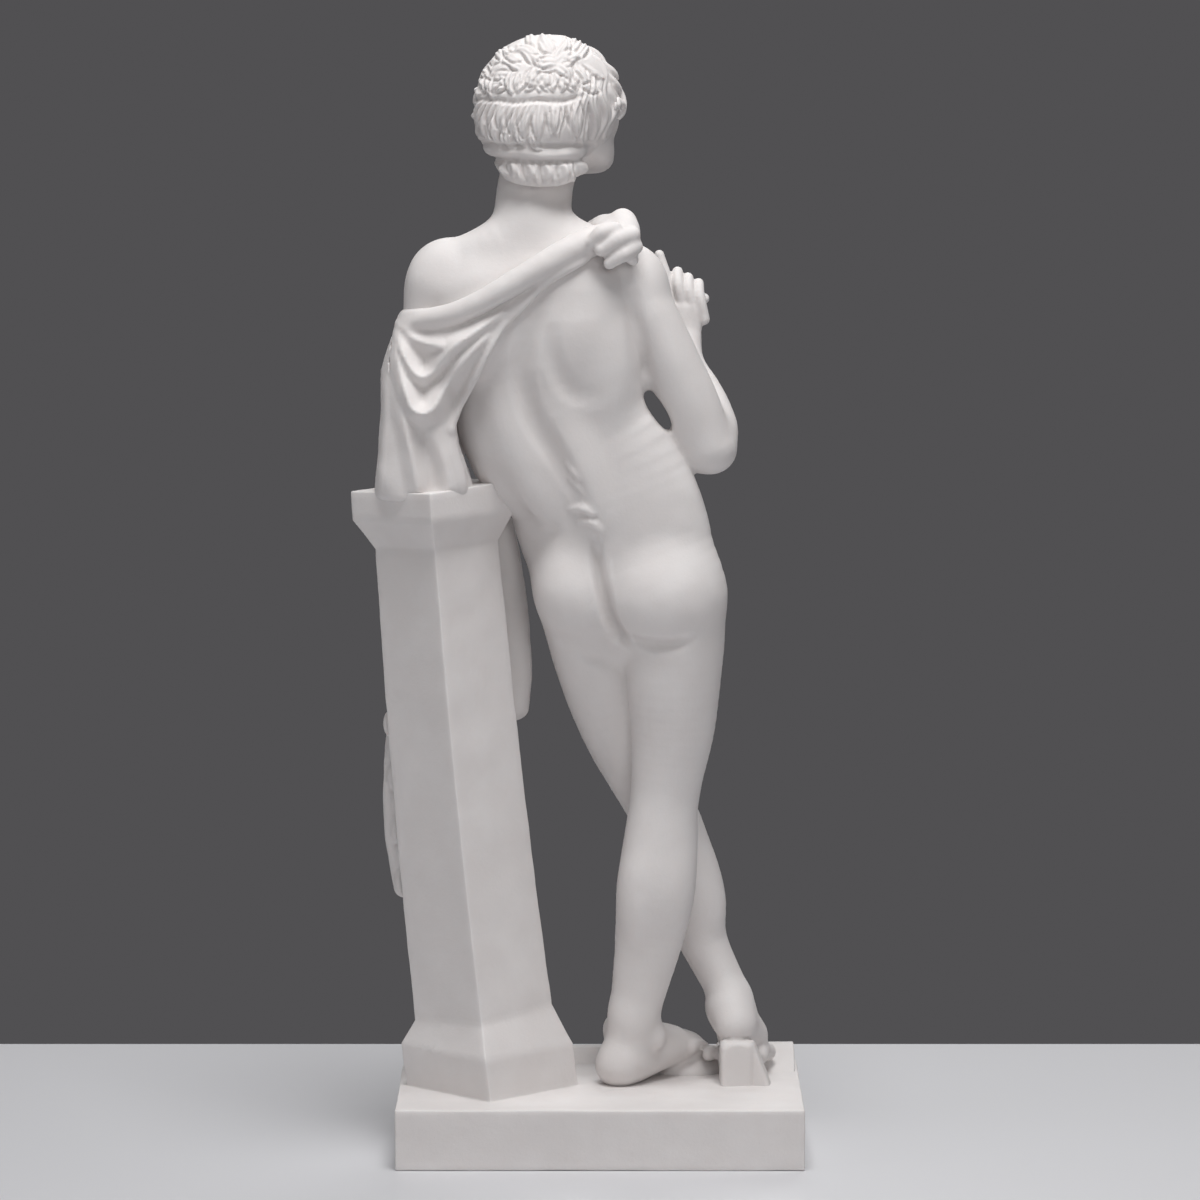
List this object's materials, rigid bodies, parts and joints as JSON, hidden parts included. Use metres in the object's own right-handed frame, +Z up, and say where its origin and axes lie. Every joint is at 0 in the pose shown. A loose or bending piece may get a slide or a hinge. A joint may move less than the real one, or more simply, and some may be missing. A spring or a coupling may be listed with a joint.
{
  "type": "garden and museum statuette",
  "caption": "Young satyr leaning on a square pillar with legs crossed, a skin over his shoulder and a short pipe in his hands, cast with its plinth.",
  "frame": {"origin": "middle of the plinth's underside", "axes": "+Z up, +Y the way the figure's body faces, +X its right hand side, so the pillar is on the -X side"},
  "size_m": [0.2825, 0.166, 0.7007],
  "materials": {
    "marble": "matt white cast marble, lightly rubbed"
  },
  "bodies": {
    "root": {"statue": "marble"}
  },
  "joints": []
}
